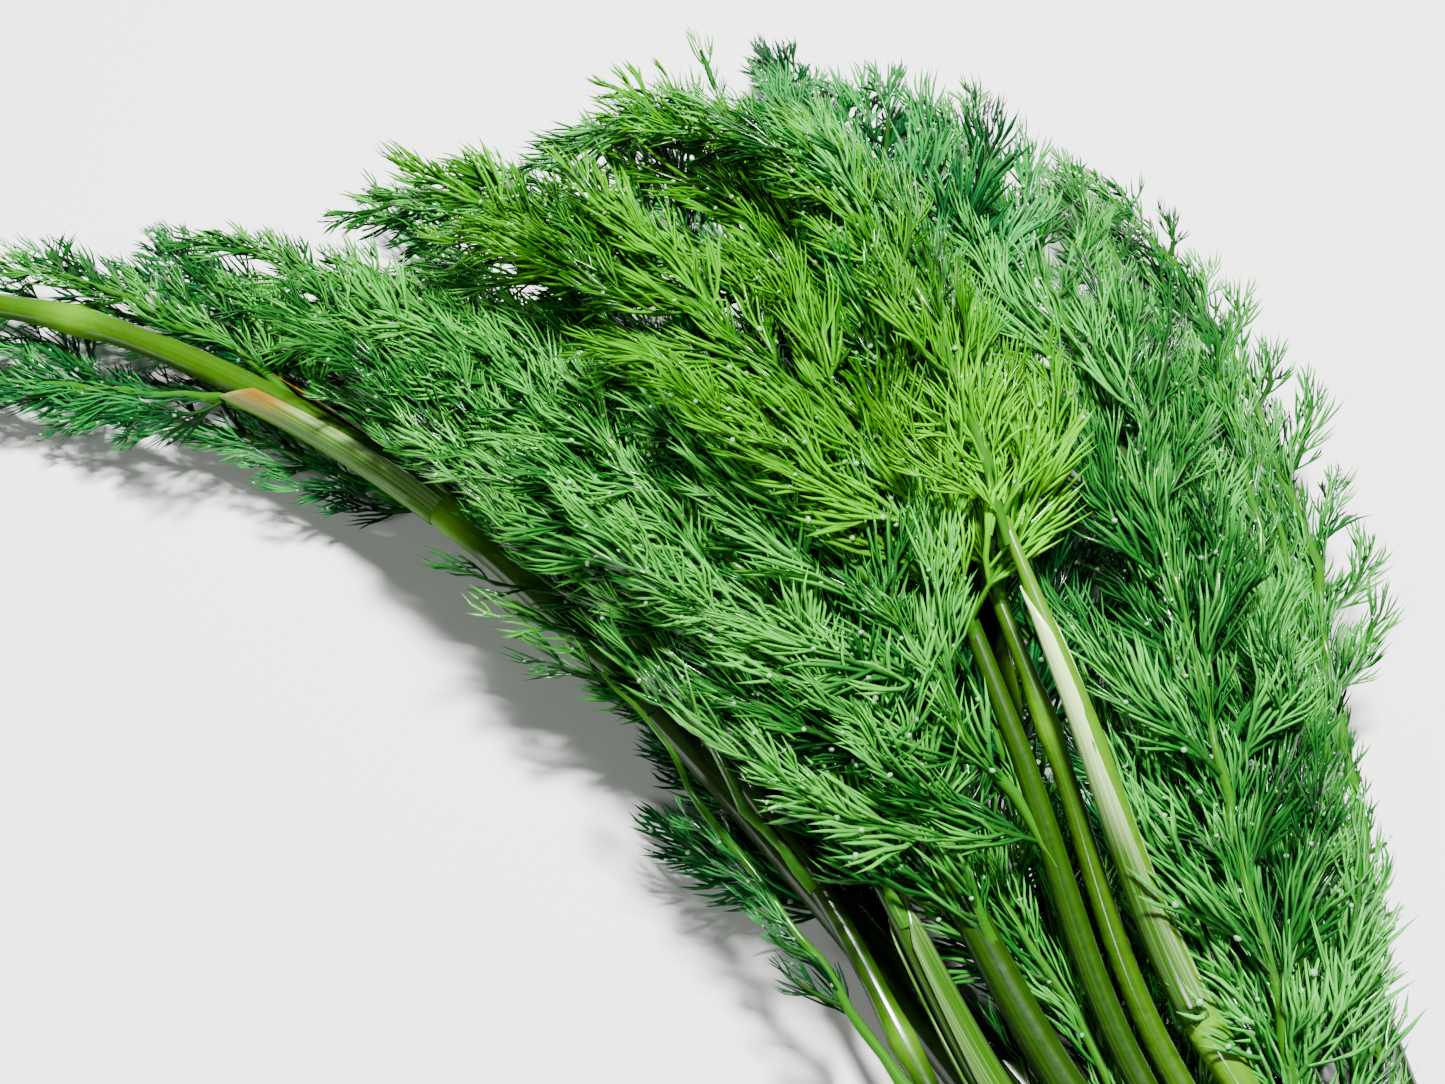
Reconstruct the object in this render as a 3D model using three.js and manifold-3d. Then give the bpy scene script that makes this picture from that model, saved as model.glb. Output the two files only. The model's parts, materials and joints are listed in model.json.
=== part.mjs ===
// A bunch of fresh dill lying on a table, in millimetres, +Z up. The cut ends of the stems point
// towards -Y and the feathery tips fan out towards +Y. The origin is on the table under the middle
// of the bunch. Twelve stems lie in a loose pile. Fronds leave them one by one, fan out to both
// sides and lie over each other in layers. A frond is a slim midrib with leaflets cut into threads,
// and where a leaf has opened its pale sheath still wraps the stem.
import * as THREE from "three";
import { mergeVertices } from "three/addons/utils/BufferGeometryUtils.js";
import Module from "manifold-3d";

const wasm = await Module();
wasm.setup();

const GAP = 0.35; // clear space between two pieces that lie against each other
const STEM = { sides: 7, step: 30 }; // step: length of stem between two rings of its tube
const RIB = { radius: [0.9, 0.45], bends: [0, 0.09, 0.18], foot: 0.9 }; // foot: half a leaflet's foot
const LEAFLETS = { pairs: 3, from: 0.27, to: 0.82, stagger: 0.02, angle: 28, shortening: 0.6, last: 0.66 };
const THREADS = { pairs: 2, from: 0.16, spread: 0.56, late: 0.3, reach: [0.6, 0.44], sweep: 23, foot: 1.9 };
const BLADE = { thickness: 0.7, ribHalf: 0.45, bare: 2.4, droop: 0.1, lift: 0.25 };
const SHEATH = { wall: 0.7, opening: 84, sides: 7, flare: 0.9 };
const MIDDLE = { x: -3.4, y: -10.9 }; // middle of the bunch, in the coordinates of the tables below

const COLOURS = {
  stem: { color: 0x5f9e3a, roughness: 0.4 },
  sheath: { color: 0xc5dca0, roughness: 0.45 },
  young: { color: 0x6ea61c, roughness: 0.5 },
  green: { color: 0x3f8a34, roughness: 0.5 },
  deep: { color: 0x2b6b34, roughness: 0.5 },
};

// The stems: radii at the cut end and at the top, and [x, z] at each of these y that they reach.
const STATIONS = [-165, -120, -75, -40, 0, 40, 80, 110];
const STEMS = {
  left: {
    radius: [3.4, 1.6],
    path: [[0, 3.2], [-1.5, 4.5], [-4, 7], [-8, 10], [-16, 14], [-29, 17], [-51, 15], [-78, 10]],
  },
  under: {
    radius: [2.2, 1.4],
    path: [[6.4, 2], [4, 1.9], [2, 1.8], [-2, 1.6], [-8, 1.5], [-20, 1.4], [-36, 1.2]],
  },
  slim: { radius: [1.7, 1.1], path: [[-0.8, 12.6], [-6, 14], [-11.5, 14.5], [-10, 17], [-14, 22]] },
  broad: { radius: [3, 1.2], path: [[3.4, 9], [-0.5, 12.5], [-6, 16.5], [-5, 24], [-6, 29]] },
  shiny: { radius: [3, 1.2], path: [[10, 8.3], [6.5, 13], [1, 18.5], [3, 24], [5, 32], [1, 33]] },
  smooth: { radius: [2, 1.2], path: [[6.8, 13], [7, 18.8], [8, 21], [15.5, 31], [22, 39], [21, 41]] },
  parallel: { radius: [2, 1.1], path: [[12.8, 13], [12.5, 17], [12.8, 18.2], [20, 30.5], [28, 38]] },
  pale: { radius: [2.4, 1.3], path: [[19.6, 12], [18, 17.5], [17.2, 22.5], [22, 38], [30, 46]] },
  right: { radius: [2.4, 1.2], path: [[16, 7.6], [21, 12.8], [26.5, 20], [39, 30], [55, 32]] },
  outer: { radius: [2.4, 1.3], path: [[24.6, 2.4], [31, 4.5], [44, 9], [65, 14]] },
  middle: { radius: [2.6, 1.2], path: [[12.2, 2.6], [11.5, 5.5], [10.5, 10], [18, 19], [34, 33], [44, 38]] },
  low: { radius: [2.6, 1.5], path: [[18.4, 2.4], [22, 2.2], [29, 2], [36, 1.8], [46, 1.6], [56, 1.4]] },
};

// The fronds: the stem and the y where each leaves it, the side that it leaves by (degrees from straight
// up, to the left), its heading (degrees left of +Y), how far it curls left on its way, its length, the
// heights of its middle and tip, the length of its longest leaflets, and its colour.
const FRONDS = [
  ["left", 60, -70, 28, 6, 48, 17, 12, 16, "green"],
  ["left", 107, 0, 34, 10, 36, 9, 5, 16, "green"],
  ["left", 20, -80, 9, 12, 76, 14, 9, 30, "deep"],
  ["left", 64, 110, 40, 16, 54, 9, 6, 20, "deep"],
  ["left", -20, -90, 2, 15, 88, 20, 18, 30, "green"],
  ["under", -58, 90, 4, 0, 60, 5, 5, 22, "deep"],
  ["under", 30, 90, 30, 22, 72, 8, 6, 20, "deep"],
  ["under", 62, -60, 36, 20, 58, 8, 6, 26, "deep"],
  ["under", -30, -90, 0, 5, 100, 5, 4, 30, "deep"],
  ["slim", -28, 60, -2, 20, 64, 29, 29, 26, "green"],
  ["slim", -60, 90, 6, -2, 56, 20, 20, 22, "deep"],
  ["broad", -38, 0, 6, 14, 70, 34, 31, 30, "green"],
  ["broad", -6, 90, 14, 12, 46, 28, 24, 24, "green"],
  ["shiny", -86, -100, -2, 0, 76, 20, 23, 28, "green"],
  ["shiny", -48, 0, 4, 12, 80, 38, 34, 30, "green"],
  ["shiny", -6, 80, 16, 14, 74, 31, 24, 28, "green"],
  ["shiny", 16, 80, 20, 8, 80, 25, 13, 30, "green"],
  ["shiny", 26, -80, 10, 12, 56, 28, 21, 26, "green"],
  ["smooth", -46, 90, 6, 0, 84, 42, 36, 30, "green"],
  ["smooth", -18, 0, 12, 12, 72, 47, 40, 30, "young"],
  ["smooth", 22, 60, 14, 22, 52, 37, 26, 26, "green"],
  ["smooth", 32, -60, -16, 0, 24, 41, 44, 12, "green"],
  ["parallel", -14, 0, -12, 30, 66, 44, 44, 28, "young"],
  ["pale", -90, -80, -20, -4, 88, 32, 38, 30, "green"],
  ["pale", -12, 0, -16, 44, 62, 53, 48, 28, "young"],
  ["right", -78, -90, -34, 8, 80, 27, 29, 28, "deep"],
  ["right", -22, -80, -36, 14, 72, 24, 11, 28, "deep"],
  ["right", -6, 60, -22, 10, 60, 30, 20, 28, "green"],
  ["outer", -92, 60, -26, 2, 82, 20, 22, 28, "green"],
  ["outer", -72, -80, -31, 2, 62, 9, 8, 22, "green"],
  ["outer", -43, 0, -33, 30, 88, 13, 5, 26, "green"],
  ["middle", -92, 80, -3, -6, 84, 13, 16, 28, "deep"],
  ["middle", -32, 80, -8, 0, 96, 21, 14, 30, "deep"],
  ["middle", -8, 0, -28, 84, 78, 51, 37, 30, "green"],
  ["middle", 20, -80, -14, 4, 52, 31, 17, 28, "deep"],
  ["low", -62, -90, -38, 10, 84, 4, 4, 26, "deep"],
  ["low", -16, -90, -28, 5, 78, 5, 4, 28, "deep"],
  ["low", -22, 90, -6, 0, 92, 6, 4, 30, "deep"],
  ["low", 34, 80, -12, 4, 50, 7, 4, 26, "deep"],
];

// The opened sheaths: the stem, the y that each reaches from and to, and the side of its slit.
const SHEATHS = [
  ["left", 30, 58, 20],
  ["broad", -80, -46, -60],
  ["pale", -76, -28, 40],
];

// The ways that a leaflet may be bent, from the least to the most: lift, roll and share of its length.
const BENDS = [1, 0.8, 0.6].flatMap((share) =>
  [4, -8, 15, -20, 26, 36].flatMap((lift) => [10, -12, 35, -40].map((roll) => [lift, roll, share])),
);

const radians = THREE.MathUtils.degToRad;
const mix = THREE.MathUtils.lerp;
const vector = (x, y, z) => new THREE.Vector3(x, y, z);

// A closed geometry as a solid that can be joined and cut.
function solidOf(geometry) {
  geometry.deleteAttribute("normal");
  geometry.deleteAttribute("uv");
  const { attributes, index } = mergeVertices(geometry, 1e-4);
  const vertProperties = attributes.position.array;
  const triVerts = new Uint32Array(index.array);
  return new wasm.Manifold(new wasm.Mesh({ numProp: 3, vertProperties, triVerts }));
}

function meshOf(solid, name, colour) {
  const { vertProperties, triVerts } = solid.getMesh();
  const geometry = new THREE.BufferGeometry()
    .setAttribute("position", new THREE.BufferAttribute(vertProperties, 3))
    .setIndex(new THREE.BufferAttribute(triVerts, 1));
  const mesh = new THREE.Mesh(geometry, new THREE.MeshStandardMaterial({ ...COLOURS[colour], metalness: 0 }));
  mesh.name = name;
  return mesh;
}

// A straight extrusion of a section whose vertices are then moved: place turns a ring and a point of the
// section into a point in space.
function tube(section, rings, place) {
  const steps = rings.length - 1;
  const shape = new THREE.Shape(section);
  const geometry = new THREE.ExtrudeGeometry(shape, { depth: 1, steps, bevelEnabled: false });
  const position = geometry.attributes.position;
  for (let i = 0; i < position.count; i++) {
    const ring = rings[Math.round(position.getZ(i) * steps)];
    const { x, y, z } = place(ring, position.getX(i), position.getY(i));
    position.setXYZ(i, x, y, z);
  }
  return solidOf(geometry);
}

// A thin plate: its outline is extruded from a flat drawing, then every vertex is moved to the top or the
// bottom of its own point, which has a middle and half a thickness in space.
function plate(points) {
  const key = (x, y) => Math.fround(x) + " " + Math.fround(y);
  const pointAt = new Map(points.map((point) => [key(point.flat.x, point.flat.y), point]));
  const shape = new THREE.Shape(points.map(({ flat }) => flat));
  const geometry = new THREE.ExtrudeGeometry(shape, { depth: 1, steps: 1, bevelEnabled: false });
  const position = geometry.attributes.position;
  for (let i = 0; i < position.count; i++) {
    const { middle, half } = pointAt.get(key(position.getX(i), position.getY(i)));
    const { x, y, z } = middle.clone().addScaledVector(half, position.getZ(i) > 0.5 ? 1 : -1);
    position.setXYZ(i, x, y, z);
  }
  return solidOf(geometry);
}

// A regular polygon of unit radius, with its first edge at the left.
function polygon(sides) {
  return Array.from({ length: sides }, (_, i) => {
    const angle = (2 * Math.PI * (i + 0.5)) / sides;
    return new THREE.Vector2(Math.cos(angle), Math.sin(angle));
  });
}

// The place and the three directions at a share of a curve: along it, to its left, and up.
function frameAt(curve, share) {
  const along = curve.getTangentAt(share);
  const left = vector(0, 0, 1).cross(along).normalize();
  return { at: curve.getPointAt(share), along, left, up: along.clone().cross(left) };
}

// A point beside a frame, at x to its left and y above it.
function beside({ at, left, up }, x, y) {
  return at.clone().addScaledVector(left, x).addScaledVector(up, y);
}

function stemCurve({ path }) {
  return new THREE.CatmullRomCurve3(path.map(([x, z], i) => vector(x, STATIONS[i], z)));
}

// The share of a stem's curve where it crosses a given y.
function shareAt(curve, y) {
  let low = 0;
  let high = 1;
  for (let i = 0; i < 24; i++) {
    const half = (low + high) / 2;
    if (curve.getPointAt(half).y < y) low = half;
    else high = half;
  }
  return low;
}

// The rings of a stem's tube: a frame and a radius each.
function stemRings(stem) {
  const curve = stemCurve(stem);
  const steps = Math.round(curve.getLength() / STEM.step);
  return Array.from({ length: steps + 1 }, (_, i) => ({
    ...frameAt(curve, i / steps),
    radius: mix(...stem.radius, i / steps),
  }));
}

function stemSolid(stem) {
  const place = (ring, x, y) => beside(ring, x * ring.radius, y * ring.radius);
  return tube(polygon(STEM.sides), stemRings(stem), place);
}

// A sheath: a wall with a slit along it, round the part of a stem between two values of y.
function sheathSolid([name, from, to, slit]) {
  const rings = stemRings(STEMS[name]);
  const between = (y) => {
    const i = rings.findIndex((ring) => ring.at.y > y) - 1;
    const [a, b] = [rings[i], rings[i + 1]];
    const share = (y - a.at.y) / (b.at.y - a.at.y);
    return {
      at: a.at.clone().lerp(b.at, share),
      left: a.left.clone().lerp(b.left, share),
      up: a.up.clone().lerp(b.up, share),
      radius: mix(a.radius, b.radius, share),
    };
  };
  const kept = [between(from), ...rings.filter(({ at }) => at.y > from + 4 && at.y < to - 4), between(to)];
  const turn = radians((360 - SHEATH.opening) / SHEATH.sides);
  const arc = (radius) =>
    Array.from({ length: SHEATH.sides + 1 }, (_, i) => {
      const angle = radians(slit + 90 + SHEATH.opening / 2) + i * turn;
      return new THREE.Vector2(radius * Math.cos(angle), radius * Math.sin(angle));
    });
  return tube([...arc(2), ...arc(1).reverse()], kept, (ring, x, y) => {
    const flare = SHEATH.flare * Math.max(0, (ring.at.y - from) / (to - from)) ** 2;
    const inner = (ring.radius + GAP) / Math.cos(turn / 2) + flare;
    const scale = (inner + (Math.hypot(x, y) - 1) * SHEATH.wall) / Math.hypot(x, y);
    return beside(ring, x * scale, y * scale);
  });
}

// The midrib of a frond: it starts beside its stem, turns at a steady rate and passes its two heights.
function frondCurve([stem, y, side, heading, curl, length, middle, tip]) {
  const line = stemCurve(STEMS[stem]);
  const share = shareAt(line, y);
  const away = mix(...STEMS[stem].radius, share) + 1.3 * RIB.radius[0] + GAP;
  const foot = beside(frameAt(line, share), away * Math.sin(radians(side)), away * Math.cos(radians(side)));
  const points = [foot];
  const spans = 5;
  for (let i = 1; i <= spans; i++) {
    const angle = radians(heading + (curl * (i - 0.5)) / spans);
    const at = points[i - 1].clone();
    at.x -= (Math.sin(angle) * length) / spans;
    at.y += (Math.cos(angle) * length) / spans;
    const s = i / spans;
    at.z = Math.max(2, foot.z * (1 - s) * (1 - 2 * s) + middle * 4 * s * (1 - s) + tip * s * (2 * s - 1));
    points.push(at);
  }
  return new THREE.CatmullRomCurve3(points);
}

// A tube that fills a midrib's way, with some space to spare.
function ribSolid(curve, spare) {
  const rings = Array.from({ length: 7 }, (_, i) => ({
    ...frameAt(curve, i / 6),
    radius: 1.5 * mix(...RIB.radius, i / 6) + spare * 1.4,
  }));
  return tube(polygon(4), rings, (ring, x, y) => beside(ring, x * ring.radius, y * ring.radius));
}

// The outline of a leaflet lying along +X: threads in pairs along its rib and one at its end. grow makes
// it larger all round, to feel for its neighbours.
function leafletOutline(length, grow) {
  const half = BLADE.ribHalf + grow;
  const sweep = radians(THREADS.sweep);
  const droop = (x) => -BLADE.droop * length * (x / length) ** 2;
  const edge = (side, stagger) =>
    Array.from({ length: THREADS.pairs }, (_, i) => {
      const share = THREADS.from + (THREADS.spread * (i + stagger)) / THREADS.pairs;
      const x = Math.max(length * share, BLADE.bare) - grow;
      const reach = length * mix(...THREADS.reach, i / (THREADS.pairs - 1)) + grow;
      const tip = x + reach * Math.cos(sweep);
      const end = x + THREADS.foot + 2 * grow;
      const lift = BLADE.lift * reach * (i % 2 ? side : -side);
      return [
        vector(x, side * half, droop(x)),
        vector(tip, side * (half + reach * Math.sin(sweep)), droop(tip) + lift),
        vector(end, side * half, droop(end)),
      ];
    }).flat();
  return [...edge(-1, THREADS.late), vector(length + grow, 0, droop(length)), ...edge(1, 0).reverse()];
}

// Where the leaflets of a frond sit: pairs that shorten towards its tip, and one that ends it.
function leafletPlaces(longest) {
  const places = [{ share: 1, side: 0, length: longest * LEAFLETS.last }];
  for (let i = 0; i < LEAFLETS.pairs; i++) {
    const step = i / (LEAFLETS.pairs - 1);
    const share = mix(LEAFLETS.from, LEAFLETS.to, step);
    const length = longest * mix(1, LEAFLETS.shortening, step);
    places.push({ share, side: -1, length }, { share: share - LEAFLETS.stagger, side: 1, length });
  }
  return places;
}

// A leaflet's own frame, turned by its angle to the midrib, then lifted and rolled.
function leafletFrame(curve, { share, side }, [lift, roll]) {
  const { at, along, left, up } = frameAt(curve, share);
  const turn = new THREE.Euler(radians(roll), radians(-lift), radians(side * LEAFLETS.angle), "ZYX");
  const frame = new THREE.Matrix4().makeBasis(along, left, up);
  return frame.multiply(new THREE.Matrix4().makeRotationFromEuler(turn)).setPosition(at);
}

// The points of a leaflet's plate. flatten gives each its place in the flat drawing.
function leafletPoints(outline, frame, thickness, flatten) {
  const half = vector().setFromMatrixColumn(frame, 2).multiplyScalar(thickness / 2);
  return outline.map((p) => ({ flat: flatten(p), middle: p.clone().applyMatrix4(frame), half }));
}

// One leaflet without its foot, made larger by grow.
function leafletSolid(curve, place, bend, grow) {
  const start = 1.4 * RIB.radius[0];
  const half = 0.8 * RIB.foot + grow;
  const threads = leafletOutline(place.length * bend[2], grow);
  const outline = [vector(start, -half, 0), ...threads, vector(start, half, 0)];
  const frame = leafletFrame(curve, place, bend);
  return plate(leafletPoints(outline, frame, BLADE.thickness + 2 * grow, (p) => new THREE.Vector2(p.x, p.y)));
}

// A whole frond. Its outline runs up the right of the midrib, round every leaflet, and down the left. In
// the flat drawing the leaflets stand straight out and far apart, so that none of them overlap, and the
// midrib is a wide arc, so that the triangles join only points that are near each other.
function frondSolid(curve, leaflets) {
  const length = curve.getLength();
  const arc = { radius: 340, turn: 1.8, halfWidth: 8, stalk: 20 };
  const drawn = (share, x, y) =>
    new THREE.Vector2(x, y - arc.radius).rotateAround(new THREE.Vector2(), share * arc.turn);
  const onRib = (share, side) => {
    const frame = frameAt(curve, share);
    const radius = mix(...RIB.radius, share);
    return {
      flat: drawn(share, 0, side * arc.halfWidth),
      middle: beside(frame, side * radius, 0),
      half: frame.up.multiplyScalar(radius * 0.9),
    };
  };
  const blade = ({ place, bend }, flatten) => {
    if (!bend) return [];
    const outline = leafletOutline(place.length * bend[2], 0);
    return leafletPoints(outline, leafletFrame(curve, place, bend), BLADE.thickness, flatten);
  };
  const edge = (side) => {
    const points = RIB.bends.map((share) => onRib(share, side));
    for (const leaflet of leaflets.filter(({ place }) => place.side === side)) {
      const { share } = leaflet.place;
      const around = blade(leaflet, (p) => drawn(share, -side * p.y, side * (arc.stalk + p.x)));
      if (side > 0) around.reverse();
      points.push(onRib(share - RIB.foot / length, side), ...around, onRib(share + RIB.foot / length, side));
    }
    return points;
  };
  const tip = blade(leaflets[0], (p) => drawn(1, arc.stalk + p.x, p.y));
  return plate([...edge(-1), ...(tip.length ? tip : [onRib(1, 0)]), ...edge(1).reverse()]);
}

function isClear(probe, others) {
  const p = probe.boundingBox();
  return others.every(({ solid, box }) => {
    const apart = [0, 1, 2].some((k) => p.min[k] > box.max[k] || box.min[k] > p.max[k]);
    return apart || probe.intersect(solid).isEmpty();
  });
}

function obstacle(solid) {
  return { solid, box: solid.boundingBox() };
}

const table = obstacle(solidOf(new THREE.BoxGeometry(600, 600, 20).translate(0, 0, -10)));

const stems = Object.entries(STEMS).map(([name, stem]) => ({
  name: "stem_" + name,
  colour: "stem",
  ...obstacle(stemSolid(stem).subtract(table.solid)),
}));

const sheaths = SHEATHS.map((sheath) => ({
  name: "sheath_" + sheath[0],
  colour: "sheath",
  ...obstacle(sheathSolid(sheath)),
}));

const curves = FRONDS.map(frondCurve);
const ribs = curves.map((curve) => obstacle(ribSolid(curve, 0)));

// Each leaflet takes the first bend that keeps it clear of everything else, or is left out.
const placed = [];
const fronds = curves.map((curve, n) => {
  const leaflets = leafletPlaces(FRONDS[n][8]).map((place) => {
    const others = [table, ...stems, ...sheaths, ...ribs.filter((_, i) => i !== n), ...placed];
    const bend = BENDS.find((choice) => isClear(leafletSolid(curve, place, choice, GAP), others));
    if (bend) placed.push(obstacle(leafletSolid(curve, place, bend, 0)));
    return { place, bend };
  });
  const stem = FRONDS[n][0];
  const name = `frond_${stem}_${FRONDS.slice(0, n + 1).filter((other) => other[0] === stem).length}`;
  return { name, colour: FRONDS[n][9], solid: frondSolid(curve, leaflets) };
});

const bunch = new THREE.Group();
for (const { solid, name, colour } of [...stems, ...sheaths, ...fronds]) {
  bunch.add(meshOf(solid, name, colour));
}
bunch.position.set(-MIDDLE.x, -MIDDLE.y, 0);

export default bunch;
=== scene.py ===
import json
import random
from itertools import product
from math import cos, exp, pi, radians, sin, tau

import bpy
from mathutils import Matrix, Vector

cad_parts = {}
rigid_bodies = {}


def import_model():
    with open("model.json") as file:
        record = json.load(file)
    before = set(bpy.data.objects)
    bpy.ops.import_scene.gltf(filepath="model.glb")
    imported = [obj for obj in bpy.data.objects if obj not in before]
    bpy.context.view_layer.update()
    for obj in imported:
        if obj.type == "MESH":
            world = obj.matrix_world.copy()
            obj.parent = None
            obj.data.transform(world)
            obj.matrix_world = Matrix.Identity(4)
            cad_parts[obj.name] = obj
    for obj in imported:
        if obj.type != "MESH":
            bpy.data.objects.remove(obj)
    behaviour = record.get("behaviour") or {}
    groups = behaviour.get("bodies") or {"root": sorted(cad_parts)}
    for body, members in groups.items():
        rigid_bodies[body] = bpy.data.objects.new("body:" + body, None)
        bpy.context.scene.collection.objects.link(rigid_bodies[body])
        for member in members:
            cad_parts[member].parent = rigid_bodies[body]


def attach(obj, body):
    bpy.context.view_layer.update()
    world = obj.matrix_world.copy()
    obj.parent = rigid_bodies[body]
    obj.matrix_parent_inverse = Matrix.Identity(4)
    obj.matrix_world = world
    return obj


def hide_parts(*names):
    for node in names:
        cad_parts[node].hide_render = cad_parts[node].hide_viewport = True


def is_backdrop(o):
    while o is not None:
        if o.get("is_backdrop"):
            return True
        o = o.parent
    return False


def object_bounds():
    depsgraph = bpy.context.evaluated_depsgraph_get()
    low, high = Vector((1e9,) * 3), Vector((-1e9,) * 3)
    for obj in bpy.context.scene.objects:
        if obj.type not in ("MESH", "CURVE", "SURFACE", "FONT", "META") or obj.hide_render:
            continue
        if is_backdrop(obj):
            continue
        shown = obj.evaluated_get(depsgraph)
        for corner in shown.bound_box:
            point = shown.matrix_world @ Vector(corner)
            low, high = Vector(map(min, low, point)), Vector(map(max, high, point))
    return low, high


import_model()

# A bunch of fresh dill lying on a table. Every stem and frond grows along the line of its plain solid.
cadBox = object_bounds()
millimetre = 0.001
middleOfBunch = Vector((-3.4, -10.9, 0))  # in the coordinates of the tables below


def inFrame(point):
    return (point - middleOfBunch) * millimetre


def newMesh(name, points, edges, faces, values):
    # values are named numbers, one of each for every point
    mesh = bpy.data.meshes.new(name)
    mesh.from_pydata(points, edges, faces)
    for label, numbers in values.items():
        mesh.attributes.new(label, "FLOAT", "POINT").data.foreach_set("value", numbers)
    return mesh


def addObject(name, data):
    obj = bpy.data.objects.new(name, data)
    bpy.context.scene.collection.objects.link(obj)
    return obj


def asPiece(obj, node):
    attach(obj, "root")
    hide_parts(node)


def plainSizes(sizes):
    # sizes in metres, radians and plain numbers, under the names of a tree's inputs
    plain = {label: value * millimetre for label, value in sizes["millimetres"].items()}
    plain.update((label, radians(value)) for label, value in sizes.get("degrees", {}).items())
    return plain | sizes["numbers"]


class NodeTools:
    # short ways to lay and join nodes
    def feed(self, socket, value):
        # a socket takes a link or a plain value
        if isinstance(value, bpy.types.NodeSocket):
            self.tree.links.new(value, socket)
        else:
            socket.default_value = value

    def lay(self, kind, inputs=None, **settings):
        node = self.tree.nodes.new(kind)
        for key, value in settings.items():
            setattr(node, key, value)
        for key, value in (inputs or {}).items():
            self.feed(node.inputs[key], value)
        return node.outputs

    def calc(self, operation, *values):
        return self.lay("ShaderNodeMath", dict(enumerate(values)), operation=operation)[0]

    def times(self, a, b):
        return self.calc("MULTIPLY", a, b)

    def minus(self, a, b):
        return self.calc("SUBTRACT", a, b)

    def shifted(self, level, value, middle, amount):
        # the level, moved by what the value is above its middle
        return self.calc("MULTIPLY_ADD", self.minus(value, middle), amount, level)

    def mapped(self, value, low, high, newLow=0.0, newHigh=1.0):
        return self.lay("ShaderNodeMapRange", {0: value, 1: low, 2: high, 3: newLow, 4: newHigh})[0]

    def blend(self, share, a, b):
        return self.lay("ShaderNodeMix", {0: share, 6: a, 7: b}, data_type="RGBA")[2]

    def attribute(self, name):
        return self.lay("ShaderNodeAttribute", attribute_name=name)[2]

    def noise(self, where, scale, detail):
        return self.lay("ShaderNodeTexNoise", {"Vector": where, "Scale": scale, "Detail": detail})[0]

    def onPiece(self):
        return self.lay("ShaderNodeTexCoord")["Object"]


socketKinds = {float: "Float", int: "Int", tuple: "Color"}


class NodeBench(NodeTools):
    # a tree with named inputs, each a plain value or a kind of socket, and named outputs
    def __init__(self, name, kind, inputs, outputs):
        self.tree = bpy.data.node_groups.new(name, kind)
        for way, sockets in (("INPUT", inputs), ("OUTPUT", outputs)):
            for label, value in sockets.items():
                kind = "NodeSocket" + (socketKinds.get(type(value)) or value)
                socket = self.tree.interface.new_socket(name=label, in_out=way, socket_type=kind)
                if not isinstance(value, str):
                    socket.default_value = value
        self.given = self.tree.nodes.new("NodeGroupInput").outputs
        self.result = self.tree.nodes.new("NodeGroupOutput").inputs

    def give(self, label, value):
        self.feed(self.result[label], value)

    def geo(self, kind, inputs=None, **settings):
        return self.lay("GeometryNode" + kind, inputs, **settings)

    def mix(self, low, high, share):
        return self.lay("ShaderNodeMix", {0: share, 2: low, 3: high}, data_type="FLOAT")[0]

    def vector(self, operation, *values):
        return self.lay("ShaderNodeVectorMath", dict(enumerate(values)), operation=operation)[0]

    def scaled(self, vector, factor):
        return self.lay("ShaderNodeVectorMath", {0: vector, "Scale": factor}, operation="SCALE")[0]

    def xyz(self, x, y, z):
        return self.lay("ShaderNodeCombineXYZ", {0: x, 1: y, 2: z})[0]

    def keep(self, geometry, name, value, kind="FLOAT"):
        values = {"Geometry": geometry, "Name": name, "Value": value}
        return self.geo("StoreNamedAttribute", values, data_type=kind, domain="POINT")[0]

    def read(self, name):
        return self.geo("InputNamedAttribute", {"Name": name}, data_type="FLOAT")[0]

    def change(self, kind, geometry, **values):
        # the nodes that take a geometry and give it back changed
        return self.geo(kind, {"Geometry": geometry, **values})[0]

    def evenly(self, curve, mode, amount):
        values = {"Curve": curve, mode.capitalize(): amount}
        return self.geo("ResampleCurve", values, mode=mode)[0]

    def circle(self, sides):
        return self.geo("CurvePrimitiveCircle", {"Resolution": sides, "Radius": 1.0})[0]

    def tube(self, curve, section, width):
        values = {"Curve": curve, "Profile Curve": section, "Scale": self.read(width), "Fill Caps": True}
        return self.geo("CurveToMesh", values)[0]

    def join(self, parts):
        node = self.tree.nodes.new("GeometryNodeJoinGeometry")
        for part in parts:
            self.tree.links.new(part, node.inputs[0])
        return node.outputs[0]


def growTree(name, bench, sizes, points, values):
    # runs a tree on a line of points and keeps the result as a plain mesh
    line = newMesh(name, points, [(i, i + 1) for i in range(len(points) - 1)], [], values)
    obj = addObject(name, line)
    modifier = obj.modifiers.new("grow", "NODES")
    modifier.node_group = bench.tree
    for item in bench.tree.interface.items_tree:
        if item.in_out == "INPUT" and item.name in sizes:
            modifier[item.identifier] = sizes[item.name]
    graph = bpy.context.evaluated_depsgraph_get()
    grown = obj.evaluated_get(graph)
    mesh = bpy.data.meshes.new_from_object(grown, preserve_all_data_layers=True, depsgraph=graph)
    obj.modifiers.remove(modifier)
    obj.data = mesh
    mesh.name = name
    bpy.data.meshes.remove(line)
    return obj


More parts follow.
